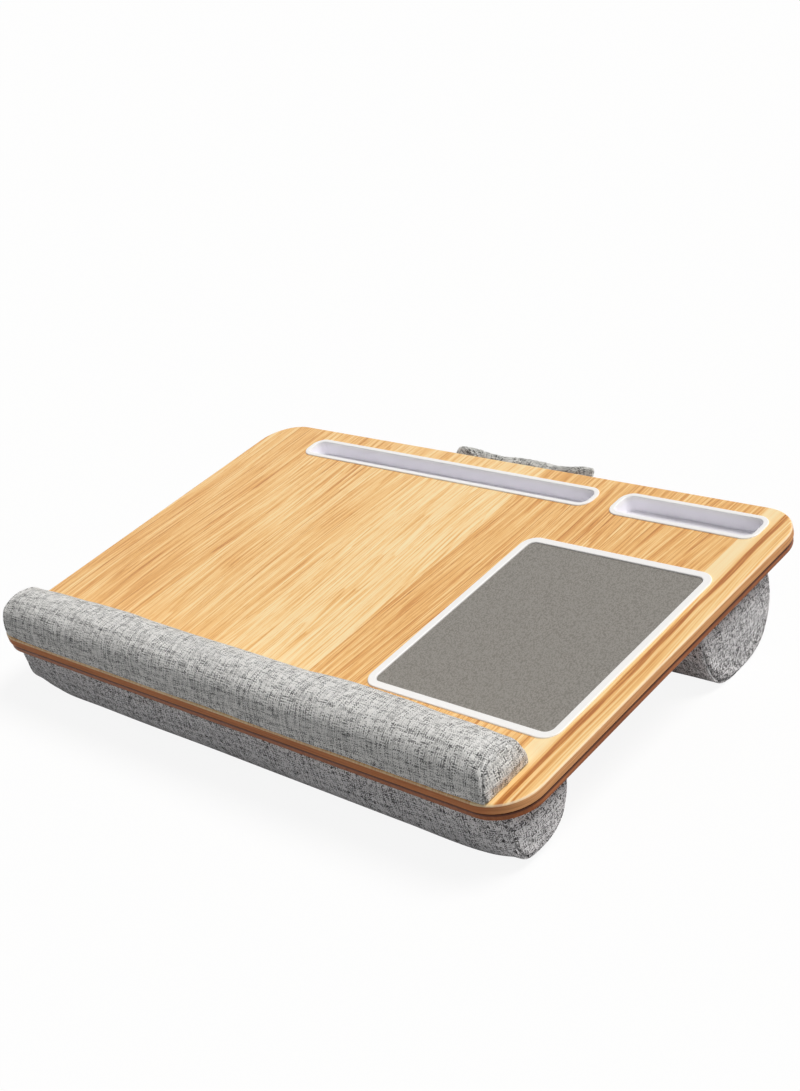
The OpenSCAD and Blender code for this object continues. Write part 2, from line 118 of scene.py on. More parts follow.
# %% World and lamp
world = bpy.data.worlds.new("studio")
bpy.context.scene.world = world
world.use_nodes = True
links, nodes = world.node_tree.links, world.node_tree.nodes
nodes.clear()
fill = nodes.new("ShaderNodeBackground")
fill.inputs["Color"].default_value = (0.96, 0.98, 1.0, 1)
fill.inputs["Strength"].default_value = 0.16
seen = nodes.new("ShaderNodeBackground")
seen.inputs["Color"].default_value = (1, 1, 1, 1)
seen.inputs["Strength"].default_value = 1.0
path = nodes.new("ShaderNodeLightPath")
either = nodes.new("ShaderNodeMixShader")
out = nodes.new("ShaderNodeOutputWorld")
sees, sees_more = nodes.new("ShaderNodeMath"), nodes.new("ShaderNodeMath")
sees.operation = sees_more.operation = "MAXIMUM"
links.new(path.outputs["Is Camera Ray"], sees.inputs[0])
links.new(path.outputs["Is Transmission Ray"], sees.inputs[1])
links.new(sees.outputs[0], sees_more.inputs[0])
links.new(path.outputs["Is Glossy Ray"], sees_more.inputs[1])
links.new(sees_more.outputs[0], either.inputs["Fac"])
links.new(fill.outputs[0], either.inputs[1])
links.new(seen.outputs[0], either.inputs[2])
links.new(either.outputs[0], out.inputs["Surface"])

bpy.ops.object.light_add(type="SUN", location=(1, 0, 2))
lamp = bpy.context.object
lamp.name = "lamp"
lamp.data.energy = 2.86
lamp.data.angle = math.radians(24)
lamp.data.color = (1.0, 0.985, 0.96)
shines_from = Vector((0.42, 0.28, 0.86)).normalized()
lamp.rotation_euler = shines_from.to_track_quat("Z", "Y").to_euler()
print("lamp from", [round(v, 2) for v in shines_from])

# %% [markdown]
# Every finish is a small graph of shader nodes. Two helpers keep them readable. Number wraps one socket, so
# that maths on a pattern is written as a sum and each operator adds its Math node. Finish holds a material:
# its node method adds any other node, with its settings first and then the values or links of its sockets.

# %% Shader helpers
class Number:
    """A value that changes over a surface, written as a Python number would be."""

    def __init__(self, tree, socket):
        self.tree, self.socket = tree, socket

    def maths(self, operation, *values, clamp=False):
        node = self.tree.nodes.new("ShaderNodeMath")
        node.operation, node.use_clamp = operation, clamp
        for slot, value in zip(node.inputs, values):
            feed(self.tree, slot, value)
        return Number(self.tree, node.outputs[0])

    def __add__(self, other): return self.maths("ADD", self, other)
    def __radd__(self, other): return self.maths("ADD", other, self)
    def __sub__(self, other): return self.maths("SUBTRACT", self, other)
    def __rsub__(self, other): return self.maths("SUBTRACT", other, self)
    def __mul__(self, other): return self.maths("MULTIPLY", self, other)
    def __rmul__(self, other): return self.maths("MULTIPLY", other, self)
    def __truediv__(self, other): return self.maths("DIVIDE", self, other)
    def __rtruediv__(self, other): return self.maths("DIVIDE", other, self)
    def __mod__(self, other): return self.maths("FLOORED_MODULO", self, other)
    def __abs__(self): return self.maths("ABSOLUTE", self)
    def __gt__(self, other): return self.maths("GREATER_THAN", self, other)
    def floor(self): return self.maths("FLOOR", self)
    def most(self, other): return self.maths("MAXIMUM", self, other)
    def clipped(self): return self.maths("ADD", self, 0, clamp=True)

    def rise(self, low, high):
        """0 below low, 1 above high and smooth between; low may be the greater."""
        node = self.tree.nodes.new("ShaderNodeMapRange")
        node.interpolation_type = "SMOOTHSTEP"
        for slot, value in zip(node.inputs, (self, low, high, 0, 1)):
            feed(self.tree, slot, value)
        return Number(self.tree, node.outputs[0])


def feed(tree, slot, value):
    """Put a number, a colour, a vector or a link into a socket."""
    if isinstance(value, Number):
        tree.links.new(value.socket, slot)
    elif isinstance(value, bpy.types.NodeSocket):
        tree.links.new(value, slot)
    elif isinstance(value, tuple) and len(value) == 3 and slot.type == "RGBA":
        slot.default_value = (*value, 1)
    else:
        slot.default_value = value


def tint(red, green, blue):
    """A colour as it is read off a screen, 0 to 255, for a shader, which wants linear light."""
    return tuple((v / 255 / 12.92) if v <= 10 else ((v / 255 + 0.055) / 1.055) ** 2.4 for v in (red, green, blue))


class Finish:
    """A material built from nodes; shader is its Principled BSDF."""

    def __init__(self, name):
        self.material = bpy.data.materials.new(name)
        self.material.use_nodes = True
        self.tree = self.material.node_tree
        self.shader = self.tree.nodes["Principled BSDF"]

    def node(self, kind, settings=None, inputs=None, stops=None):
        node = self.tree.nodes.new(kind)
        for key, value in (settings or {}).items():
            setattr(node, key, value)
        if stops:
            ramp = node.color_ramp
            while len(ramp.elements) < len(stops):
                ramp.elements.new(1)
            for element, (place, colour) in zip(ramp.elements, stops):
                element.position = place
                element.color = (*colour, 1) if isinstance(colour, tuple) else (colour,) * 3 + (1,)
        for key, value in (inputs or {}).items():
            feed(self.tree, node.inputs[key], value)
        return node

    def number(self, node, output=0):
        return Number(self.tree, node.outputs[output])

    def place(self):
        """x, y and z of the surface, in millimetres."""
        coordinates = self.node("ShaderNodeTexCoord")
        parts = self.node("ShaderNodeSeparateXYZ", inputs={0: coordinates.outputs["Object"]})
        return [self.number(parts, i) * 1000 for i in range(3)]

    def uv(self):
        """The cut cloth's own length and width, in millimetres."""
        layer = self.node("ShaderNodeUVMap", {"uv_map": "cloth"})
        parts = self.node("ShaderNodeSeparateXYZ", inputs={0: layer.outputs[0]})
        return self.number(parts, 0), self.number(parts, 1)

    def point(self, x=0.0, y=0.0, z=0.0):
        return self.node("ShaderNodeCombineXYZ", inputs={0: x, 1: y, 2: z}).outputs[0]

    def noise(self, x=0.0, y=0.0, z=0.0, detail=2.0, rough=0.5):
        """A soft random pattern, with about one bump for each whole number."""
        node = self.node("ShaderNodeTexNoise", {"noise_dimensions": "3D"}, {
            "Vector": self.point(x, y, z), "Scale": 1.0, "Detail": detail, "Roughness": rough})
        return self.number(node, "Fac")

    def chance(self, x=0.0, y=0.0, z=0.0):
        """An even random number for each whole-numbered place."""
        node = self.node("ShaderNodeTexWhiteNoise", {"noise_dimensions": "3D"}, {"Vector": self.point(x, y, z)})
        return self.number(node, "Value")

    def ramp(self, fac, stops, kind="LINEAR"):
        node = self.node("ShaderNodeValToRGB", stops=stops, inputs={0: fac})
        node.color_ramp.interpolation = kind
        return node.outputs[0]

    def mix(self, fac, first, second, kind="MIX"):
        node = self.node("ShaderNodeMix", {"data_type": "RGBA", "blend_type": kind, "clamp_factor": True})
        for slot, value in ((0, fac), (6, first), (7, second)):
            feed(self.tree, node.inputs[slot], value)
        return node.outputs[2]

    def from_front_edge(self, way):
        """How far the surface lies from the board's front edge in one direction, in millimetres."""
        coordinates = self.node("ShaderNodeTexCoord")
        dot = self.node("ShaderNodeVectorMath", {"operation": "DOT_PRODUCT"}, {
            0: coordinates.outputs["Object"], 1: tuple(way)})
        return (self.number(dot, "Value") - way.dot(front_edge)) * 1000

    def height_on_board(self):
        return self.from_front_edge(upward)

    def finish(self, colour, rough, bump, depth):
        """Join colour, roughness and relief to the shader; depth is the relief's height in millimetres."""
        feed(self.tree, self.shader.inputs["Base Color"], colour)
        feed(self.tree, self.shader.inputs["Roughness"], rough)
        node = self.node("ShaderNodeBump", inputs={"Height": bump, "Distance": depth * mm, "Strength": 1.0})
        self.tree.links.new(node.outputs[0], self.shader.inputs["Normal"])
        return self.material


def dress(node_name, material):
    """Give a piece of the frame its finish."""
    mesh = frame["nodes"][node_name].data
    mesh.materials.clear()
    mesh.materials.append(material)


print("shader helpers ready")

# %% [markdown]
# The floor is one white plane. Where the camera sees it, most of its light is plain white, so that it runs
# into the white world with no horizon, and the rest takes the desk's soft shadow. To the light that bounces it
# is grey, or it would light the front of the desk from below.

# %% Floor
bpy.ops.object.select_all(action="DESELECT")
bpy.ops.mesh.primitive_plane_add(size=60, location=(0, 0, -0.0004))
floor = bpy.context.object
floor.name = "floor"
paper = Finish("floor_paper")
paper.shader.inputs["Roughness"].default_value = 0.9
paper.shader.inputs["Specular IOR Level"].default_value = 0.1
glow = paper.node("ShaderNodeEmission", inputs={"Color": (1.0, 1.0, 1.0), "Strength": 1.0})
rays = paper.node("ShaderNodeLightPath")
seen_by = Number(paper.tree, rays.outputs["Is Camera Ray"]).most(Number(paper.tree, rays.outputs["Is Glossy Ray"]))
paper.tree.links.new(paper.mix(seen_by, (0.60, 0.60, 0.60), (0.94, 0.94, 0.94)), paper.shader.inputs["Base Color"])
share = paper.node("ShaderNodeMixShader", inputs={0: seen_by * 0.90, 1: paper.shader.outputs[0], 2: glow.outputs[0]})
paper.tree.links.new(share.outputs[0], paper.tree.nodes["Material Output"].inputs["Surface"])
floor.data.materials.append(paper.material)
print("floor laid")

# %% [markdown]
# The top board is faced with oak in planks that run from front to back. Real oak shows three things at this
# distance: planks of different tone, growth lines that run along the plank and bend a little, and short dark
# pores. A picture of wood would be simplest, but noise that is stretched along the grain gives all three at any
# distance and repeats nowhere.


# %% Oak
def oak(name, side_edge_tone, front_back_edge_shade):
    oak = Finish(name)
    x, y, z = oak.place()
    h, along = oak.height_on_board(), oak.from_front_edge(to_back)
    # planks: where each begins across the board, from 0 to 1, and its tone, from 0 for dark to 1 for pale
    planks = [(0.0, 0.50), (0.2, 0.60), (0.385, 0.84), (0.5685, 0.44), (0.941, 1.0)]
    pale = Number(oak.tree, oak.ramp(x / board_wide + 0.5, planks, "CONSTANT"))
    seed = pale * 37.0
    # the growth lines sway slowly from side to side and stand closer together here and there
    sway = (oak.noise(x * 0.008, y * 0.0034, seed, detail=1.0) - 0.5) * 24.0
    across = x + sway
    year = (oak.noise(across * 0.045, y * 0.0015, seed, detail=1.0) * 23.0) % 1.0
    late = year.rise(0.30, 0.95) * year.rise(1.0, 0.93)
    streaks = oak.noise(across * 0.40, y * 0.0065, seed + 9.0, detail=3.0, rough=0.6)
    fibres = oak.noise(across * 1.15, y * 0.017, seed + 3.0, detail=3.0, rough=0.65)
    pores = oak.noise(across * 2.4, y * 0.085, seed + 5.0, detail=1.0).rise(0.60, 0.70)
    cloud = oak.noise(x * 0.016, y * 0.006, 2.0, detail=2.0)
    calm = 1 - 0.72 * (pale > 0.9)
    dark = ((streaks - 0.5) * 1.15 + (fibres - 0.5) * 1.35 + late * 0.20 + pores * 0.20) * calm
    dark = dark + (cloud - 0.5) * 0.42 + 0.73 - pale * 0.70
    # the pale plank ends in a darker strip along the board's right edge, with one brown streak in it
    bend = (oak.noise(y * 0.011, 3.0, 1.0) - 0.5) * 8.0
    strip = (x + bend).rise(239.0, 243.5)
    fine = oak.noise(across * 0.9, y * 0.010, 21.0, detail=3.0)
    dark = dark + strip * (0.26 + (fine - 0.5) * 1.3)
    thick = 0.6 + oak.noise(y * 0.013, 8.0, 2.0) * y.rise(250, 175) * 5.0
    streak = (1 - abs(x - 246.4 + bend * 0.55) / thick).rise(0.0, 0.7) * y.rise(255, 205)
    second = (1 - abs(x - 252.6 + bend * 0.8) / 1.8).rise(0.0, 0.9) * y.rise(120, 20)
    streak = (streak + second * 0.5) * (0.55 + 0.45 * fibres.rise(0.35, 0.6))
    dark = dark + streak.clipped() * 0.85
    face = oak.ramp(dark, [
        (0.0, tint(255, 231, 182)), (0.18, tint(254, 218, 158)), (0.42, tint(245, 195, 125)),
        (0.66, tint(225, 162, 90)), (1.0, tint(182, 112, 55))])
    # the edge below the soft corner is darker on the front and back than on the sides: painted shade, for the lamp
    # lights the right side and not the front
    outside_x = (abs(x) - (board_wide / 2 - corner_round)).most(0)
    outside_y = (abs(along - board_deep / 2) - (board_deep / 2 - corner_round)).most(0)
    ends = (outside_y / (outside_x + outside_y + 0.01)).rise(0.30, 0.85)
    edge = oak.mix(ends, side_edge_tone, front_back_edge_shade)
    shaded = oak.mix(1.0, edge, (0.66, 0.60, 0.56), "MULTIPLY")
    layers = oak.noise(x * 0.02, y * 0.02, h * 1.1, detail=3.0, rough=0.6)
    band = oak.mix(layers.rise(0.35, 0.7), edge, shaded)
    rim = h.rise(-1.0, -1.7)
    # painted highlight: the rounded top edge is mixed towards a pale colour, less on the front and back edges
    corner = h.rise(-0.15, -0.6) * h.rise(-1.8, -1.1)
    colour = oak.mix(rim, face, band)
    colour = oak.mix(corner * (0.7 - ends * 0.3), colour, tint(255, 234, 202))
    gloss = 0.42 + (streaks - 0.5) * 0.2 + pores * 0.2 + rim * 0.25
    relief = 1 - late * 0.3 - pores * 0.9 - fibres * 0.6
    oak.shader.inputs["Specular IOR Level"].default_value = 0.3
    oak.shader.inputs["Coat Roughness"].default_value = 0.3
    feed(oak.tree, oak.shader.inputs["Coat Weight"], (1 - rim) * 0.10)
    return oak.finish(colour, gloss, relief, 0.05)


dress("top_board", oak("oak_face", tint(230, 168, 112), tint(198, 124, 74)))
print("oak planks on the top board")

# %% [markdown]
# The base board is a thin sheet with a darker, redder stain, seen as a narrow band below the gap and whole
# from below. One stretched noise gives its grain. The gap itself is left to real shade, helped by painted shade
# that darkens the top of the base board, because so narrow a slot would need very many light samples.

# %% Stained base board
base = Finish("stained_base")
x, y, z = base.place()
h = base.height_on_board()
veins = base.noise(x * 0.3, y * 0.012, h * 0.5, detail=4.0, rough=0.6)
hairs = base.noise(x * 1.6, y * 0.05, 4.0, detail=2.0)
stain_and_gap_shade = base.ramp(veins * 0.7 + hairs * 0.3, [
    (0.25, tint(182, 112, 64)), (0.5, tint(154, 88, 48)), (0.75, tint(116, 62, 32))])
# painted shade: the top of the base board, just under the gap, is darkened nearly to black
stain_and_gap_shade = base.mix(h.rise(-9.7, -9.1) * 0.85, stain_and_gap_shade, tint(70, 30, 14))
base.shader.inputs["Specular IOR Level"].default_value = 0.25
dress("base_board", base.finish(stain_and_gap_shade, 0.5 + (hairs - 0.5) * 0.2, veins * 0.6 + hairs * 0.4, 0.06))
print("base board stained")

# %% [markdown]
# The strips inside the cushions are bare plywood: pale, with layers that show as lines on their edges.

# %% Plywood strips
ply = Finish("plywood")
x, y, z = ply.place()
h = ply.height_on_board()
layer = (h / 1.2).floor() % 2
veins = ply.noise(x * 0.012, y * 0.5, h * 0.2, detail=4.0, rough=0.6)
bare = ply.ramp(veins, [(0.3, tint(226, 196, 150)), (0.7, tint(190, 152, 106))])
bare = ply.mix(layer * 0.25, bare, tint(150, 108, 70))
plywood = ply.finish(bare, 0.7 + (veins - 0.5) * 0.2, veins, 0.08)
for name in ("wrist_rest_strip", "front_bolster_ply", "rear_bolster_ply"):
    dress(name, plywood)
print("plywood on three strips")

# %% [markdown]
# Frame and trays are moulded in white plastic with a fine spark-eroded texture. A plain white would look like
# paper, so roughness changes a little over the surface and a very fine grain lifts the highlights.

# %% White plastic
white = Finish("white_plastic")
x, y, z = white.place()
h = white.height_on_board()
spark = white.noise(x * 3.0, y * 3.0, z * 3.0, detail=2.0)
haze = white.noise(x * 0.05, y * 0.05, z * 0.05, detail=2.0)
inside = h.rise(0.0, -5.0)
tone = white.mix(haze * 0.5, tint(252, 251, 250), tint(248, 247, 248))
# painted shade: below the wood, inside the trays, the white gets a faint cool lavender tint
tone = white.mix(inside * 0.7, tone, tint(249, 247, 255))
moulded = white.finish(tone, 0.30 + haze * 0.12 + inside * 0.15, spark, 0.012)
white.shader.inputs["Specular IOR Level"].default_value = 0.5
for name in ("pad_frame", "phone_tray", "tablet_tray"):
    dress(name, moulded)
print("white plastic on frame and trays")

# %% [markdown]
# The pad is grey artificial leather. Its pebbles are the cells of a Voronoi texture, pulled out of shape by
# noise so that they run together into short creases. Gloss changes between pebble and crease, and the creases
# are darker in colour, as painted shade.

# %% Pebbled leather
pebble = Finish("grey_leather")
x, y, z = pebble.place()
push = pebble.noise(x * 0.55, y * 0.55, 0.0, detail=3.0) * 2.0
cells = pebble.node("ShaderNodeTexVoronoi", {"feature": "SMOOTH_F1"}, {
    "Vector": pebble.point(x * 1.15 + push, y * 0.80 - push, 0.0), "Scale": 1.0, "Smoothness": 0.35})
bead = pebble.number(cells, "Distance")
grain_fine = pebble.noise(x * 2.6, y * 2.6, 0.0, detail=3.0)
worn = pebble.noise(x * 0.03, y * 0.03, 0.0, detail=2.0)
crease_shade = bead.rise(0.35, 0.75)
# painted shade: the creases between the pebbles are darker
hide = pebble.mix(crease_shade, tint(144, 140, 134), tint(124, 120, 114))
hide = pebble.mix((worn - 0.4).clipped() * 0.8, hide, tint(137, 134, 128))
dress("pad_leather", pebble.finish(hide, 0.50 + crease_shade * 0.18 + (grain_fine - 0.5) * 0.1,
                                   1 - bead * 0.9 + grain_fine * 0.3, 0.17))
pebble.shader.inputs["Specular IOR Level"].default_value = 0.4

board_back = Finish("grey_board")
x, y, z = board_back.place()
fibre = board_back.noise(x * 0.8, y * 0.8, z, detail=4.0)
pulp = board_back.mix(fibre, tint(138, 132, 122), tint(112, 106, 98))
dress("pad_backing", board_back.finish(pulp, 0.8 + (fibre - 0.5) * 0.2, fibre, 0.05))
print("leather and its backing board")

# %% [markdown]
# Screws, washers and staples are plain steel. Turned heads show faint rings, which a sine of the distance
# would draw, but at a few millimetres across brushed noise is enough.


# %% Steel
def steel(name, pale, rough):
    metal = Finish(name)
    x, y, z = metal.place()
    brush = metal.noise(x * 6.0, y * 1.2, z * 6.0, detail=3.0)
    tarnish = metal.noise(x * 0.3, y * 0.3, z * 0.3, detail=2.0)
    colour = metal.mix(tarnish, pale, tuple(v * 0.72 for v in pale))
    metal.shader.inputs["Metallic"].default_value = 1.0
    return metal.finish(colour, rough + (brush - 0.5) * 0.25, brush, 0.01)


zinc = steel("zinc_steel", tint(176, 178, 182), 0.36)
wire = steel("staple_wire", tint(196, 197, 200), 0.30)
for name in ("board_screws", "bolster_screws", "strap_screws", "strap_washers"):
    dress(name, zinc)
for name in ("wrist_rest_staples", "front_bolster_staples", "rear_bolster_staples"):
    dress(name, wire)

glue = Finish("mounting_tape")
x, y, z = glue.place()
fleck = glue.noise(x * 0.9, y * 0.9, z * 0.9, detail=3.0)
dress("wrist_rest_tape", glue.finish(
    glue.mix(fleck, tint(236, 232, 220), tint(214, 208, 192)), 0.75 + (fleck - 0.5) * 0.2, fleck, 0.05))
print("steel and tape")

# %% [markdown]
# The covers are sewn from a coarse grey linen. It is spun from pale and dark fibres, so each thread changes its
# tone every few millimetres and the cloth is speckled. The pattern is a plain weave of two sets of such
# threads, drawn on the cut cloth's own map in millimetres, so that it bends over the cushion as real cloth
# does. A noise alone would give the speckle without the threads.


# %% Linen
def linen(name, pale, dark, pitch=0.82, speckle=1.0, runs=(4.6, 3.4), blotchy=0.12):
    cloth = Finish(name)
    u, v = cloth.uv()
    wander = (cloth.noise(u * 0.05, v * 0.05, 0.0, detail=2.0) - 0.5) * 2.4
    a, b = (u + wander) / pitch, (v + wander) / pitch
    ia, ib = a.floor(), b.floor()
    fa, fb = a - ia, b - ib
    over = (ia + ib) % 2

    def threads(index, along, seed, run):
        own = cloth.chance(index, seed, 1.0)
        piece = (along / (run * (0.7 + own * 0.8)) + own * 9.0).floor()
        fibre = cloth.chance(index, piece, seed)
        drift = cloth.noise(index * 1.3, along * 0.16, seed, detail=2.0, rough=0.7)
        return ((fibre - 0.5) * 0.80 + (drift - 0.5) * 0.55 + (own - 0.5) * 0.50) * speckle + 0.60

    warp, weft = threads(ia, v, 3.0, runs[0]), threads(ib, u, 8.0, runs[1])
    thread = (weft + (warp - weft) * over).clipped()
    slub = (cloth.chance((u / 5.5).floor(), ib, 4.0) > 0.965) * 0.16
    # each thread is round and dips under its neighbour; the dips are also painted darker, as painted shade
    dip_a = abs(fa - 0.5) * 2
    dip_b = abs(fb - 0.5) * 2
    side = dip_b + (dip_a - dip_b) * over
    end = dip_a + (dip_b - dip_a) * over
    thread_height_and_shade = (1 - side * side * 0.9) * (1 - end * end * 0.45)
    blotch = cloth.noise(u * 0.035, v * 0.05, 5.0, detail=3.0)
    tone = thread * (0.52 + 0.48 * thread_height_and_shade) - slub + (blotch - 0.5) * blotchy
    colour = cloth.ramp(tone, [
        (0.02, dark), (0.28, tuple(d * 0.55 + p * 0.45 for d, p in zip(dark, pale))),
        (0.62, tuple(d * 0.12 + p * 0.88 for d, p in zip(dark, pale))), (0.85, pale)])
    # the stitches pull the cloth into a crease along each seam, and the crease's shade is painted as a darker colour
    seam = Number(cloth.tree, cloth.node("ShaderNodeAttribute", {"attribute_name": "seam_shade"}).outputs["Fac"])
    colour = cloth.mix(seam.rise(0.55, 0.95) * 0.45, colour, tuple(v * 0.5 for v in dark))
    cloth.shader.inputs["Sheen Weight"].default_value = 0.10
    cloth.shader.inputs["Sheen Roughness"].default_value = 0.5
    cloth.shader.inputs["Specular IOR Level"].default_value = 0.2
    return cloth.finish(colour, 0.9 + (thread - 0.5) * 0.1, thread_height_and_shade + (thread - 0.5) * 0.25, 0.22)


rest_linen = linen("rest_linen", tint(255, 254, 252), tint(78, 78, 79), speckle=1.2)
bolster_linen = linen("bolster_linen", tint(255, 253, 255), tint(44, 42, 44), pitch=0.80, speckle=1.8,
                      runs=(2.6, 2.0), blotchy=0.05)
strap_linen = linen("strap_linen", tint(232, 232, 228), tint(64, 66, 64), pitch=0.8, speckle=1.4)
print("three shades of linen")

# %% [markdown]
# A cushion is a sleeve of cloth that is wrapped once round a long D-shaped core, with a D-shaped panel sewn
# into each end. The core is the construction's own shape, written again here: two rounded halves of different
# depth that are full in the middle and a little slimmer at the ends. A box with its corners rounded would be
# quicker, but it can't have the seam, the panel and the slimmer ends.

# %% The D-shaped core
around, panel_cells = 96, 24


def core_outline(shape, shrink=0.0):
    """Points round the D, evenly spaced along the cloth, starting and ending in the middle of the flat side."""
    front, back, tall, n_front, n_back = shape
    front, back, tall = front - shrink, back - shrink, tall - shrink
    t = np.linspace(0, np.pi, 721)
    c, s = np.cos(t), np.sin(t)
    n = np.where(c > 0, n_front, n_back)
    y = np.where(c > 0, -front * np.abs(c) ** (2 / n), back * np.abs(c) ** (2 / n))
    z = -tall * np.clip(s, 0, 1) ** (2 / n)
    middle = (back - front) / 2
    y = np.concatenate([[middle], y, [middle]])
    z = np.concatenate([[0], z, [0]])
    run = np.concatenate([[0], np.cumsum(np.hypot(np.diff(y), np.diff(z)))])
    even = np.linspace(0, run[-1], around + 1)
    return np.interp(even, run, y), np.interp(even, run, z), run[-1]


def core_at(shape, ends, inwards, full_from=70 * mm):
    """The D at a distance in from an end."""
    full = 1 - (1 - min(inwards, full_from) / full_from) ** 3
    return [s * (e + (1 - e) * full) for s, e in zip(shape[:3], ends)] + shape[3:]


print("threads of the grid round a cushion:", around)

# %% [markdown]
# The sleeve and the panels start as flat grids, which are the cut cloth: their maps keep the cloth's own
# millimetres. Their points are then wrapped round the core by formula, the three pieces are joined, and the
# points along the seams are merged. Each seam point is noted in a vertex group, to be pulled tight later.


# %% Cutting and wrapping
def flat_cloth(name, columns, rows):
    """A grid of cloth with the given number of cells, all deselected before it is added."""
    bpy.ops.object.select_all(action="DESELECT")
    bpy.ops.mesh.primitive_grid_add(x_subdivisions=columns, y_subdivisions=rows, size=1)
    cloth = bpy.context.object
    cloth.name = name
    cloth.data.uv_layers[0].name = "cloth"
    grid = np.zeros(len(cloth.data.vertices) * 3)
    cloth.data.vertices.foreach_get("co", grid)
    grid = grid.reshape(-1, 3)
    i = np.rint((grid[:, 0] + 0.5) * columns).astype(int)
    j = np.rint((grid[:, 1] + 0.5) * rows).astype(int)
    return cloth, i, j


def lay_out(cloth, points, map_mm):
    """Put a grid's points in place and write its map."""
    cloth.data.vertices.foreach_set("co", np.asarray(points, float).ravel())
    corner = np.zeros(len(cloth.data.loops), int)
    cloth.data.loops.foreach_get("vertex_index", corner)
    cloth.data.uv_layers["cloth"].data.foreach_set("uv", np.asarray(map_mm, float)[corner].ravel())
    cloth.data.update()


def sleeve_stations(length):
    """Places along the cushion, closer together near its ends, where the cloth turns."""
    near = np.array([0, 1.0, 2.2, 3.8, 6, 9, 12.5, 17, 22, 27.5, 33.5, 40, 46.5, 53, 60]) * mm
    middle = np.linspace(60 * mm, length / 2, 20)[1:]
    half = np.concatenate([near, middle])
    return np.concatenate([half, (length - half[:-1])[::-1]]) - length / 2


def seam_shrink(inwards):
    """The sleeve turns in a little where it meets the panel."""
    return 1.2 * mm * max(0.0, 1 - inwards / (2.6 * mm)) ** 1.6


def wrap_sleeve(name, shape, ends, length):
    stations = sleeve_stations(length)
    cloth, i, j = flat_cloth(name, len(stations) - 1, around)
    rings, girth = [], 0
    for x in stations:
        inwards = length / 2 - abs(x)
        y, z, run = core_outline(core_at(shape, ends, inwards), seam_shrink(inwards))
        rings.append(np.stack([np.full_like(y, x), y, z], 1))
        girth = max(girth, run)
    rings = np.array(rings)
    points = rings[i, j]
    lay_out(cloth, points, np.stack([points[:, 0] * 1000, j / around * girth * 1000], 1))
    return cloth, rings


def sew_panel(name, rim, bulge, outwards):
    """A panel whose edge runs along the seam; its inside is blended from its four sides and swells outwards."""
    n = panel_cells
    cloth, i, j = flat_cloth(name, n, n)
    edge = rim[:-1]
    low, right = edge[np.arange(0, n + 1)], edge[np.arange(n, 2 * n + 1)]
    high, left = edge[np.arange(3 * n, 2 * n - 1, -1)], edge[(4 * n - np.arange(0, n + 1)) % (4 * n)]
    s, t = (i / n)[:, None], (j / n)[:, None]
    points = ((1 - t) * low[i] + t * high[i] + (1 - s) * left[j] + s * right[j]
              - (1 - s) * (1 - t) * low[0] - s * (1 - t) * low[n] - (1 - s) * t * high[0] - s * t * high[n])
    swell = (np.sin(np.pi * s[:, 0]) * np.sin(np.pi * t[:, 0])) ** 0.6
    points[:, 0] += outwards * bulge * swell
    lay_out(cloth, points, np.stack([points[:, 1] * 1000 + 700, points[:, 2] * 1000 + 300], 1))
    return cloth


def join_cloth(sleeve, *panels):
    """Join the panels to the sleeve and merge the points along the seams."""
    bpy.ops.object.select_all(action="DESELECT")
    for cloth in (sleeve, *panels):
        cloth.select_set(True)
    bpy.context.view_layer.objects.active = sleeve
    bpy.ops.object.join()
    bpy.ops.object.mode_set(mode="EDIT")
    bpy.ops.mesh.select_all(action="SELECT")
    bpy.ops.mesh.remove_doubles(threshold=0.00002)
    bpy.ops.mesh.normals_make_consistent(inside=False)
    bpy.ops.object.mode_set(mode="OBJECT")
    return sleeve


def points_of(piece):
    co = np.zeros(len(piece.data.vertices) * 3)
    piece.data.vertices.foreach_get("co", co)
    return co.reshape(-1, 3)


def set_points(piece, points):
    piece.data.vertices.foreach_set("co", np.asarray(points, float).ravel())
    piece.data.update()


def normals_of(piece):
    normals = np.zeros(len(piece.data.vertices) * 3)
    piece.data.vertices.foreach_get("normal", normals)
    return normals.reshape(-1, 3)


def weights_of(piece, group):
    index = piece.vertex_groups[group].index
    weights = np.zeros(len(piece.data.vertices))
    for vertex in piece.data.vertices:
        for entry in vertex.groups:
            if entry.group == index:
                weights[vertex.index] = entry.weight
    return weights


def apply_modifier(piece, kind, **settings):
    bpy.ops.object.select_all(action="DESELECT")
    piece.select_set(True)
    bpy.context.view_layer.objects.active = piece
    modifier = piece.modifiers.new(kind.lower(), kind)
    for key, value in settings.items():
        setattr(modifier, key, value)
    bpy.ops.object.modifier_apply(modifier=modifier.name)


print("cutting and wrapping ready")

# %% [markdown]
# Stuffing is where the cushion comes alive. The cloth is pinned where it lies flat against the board and
# pressed outwards by Blender's own cloth simulation, so that it tightens between the seams and wrinkles a
# little near them. No point may move more than a few millimetres, so that the cushion keeps its real size.
# Afterwards the surface is subdivided once, and the seam is pulled in along its stitches.


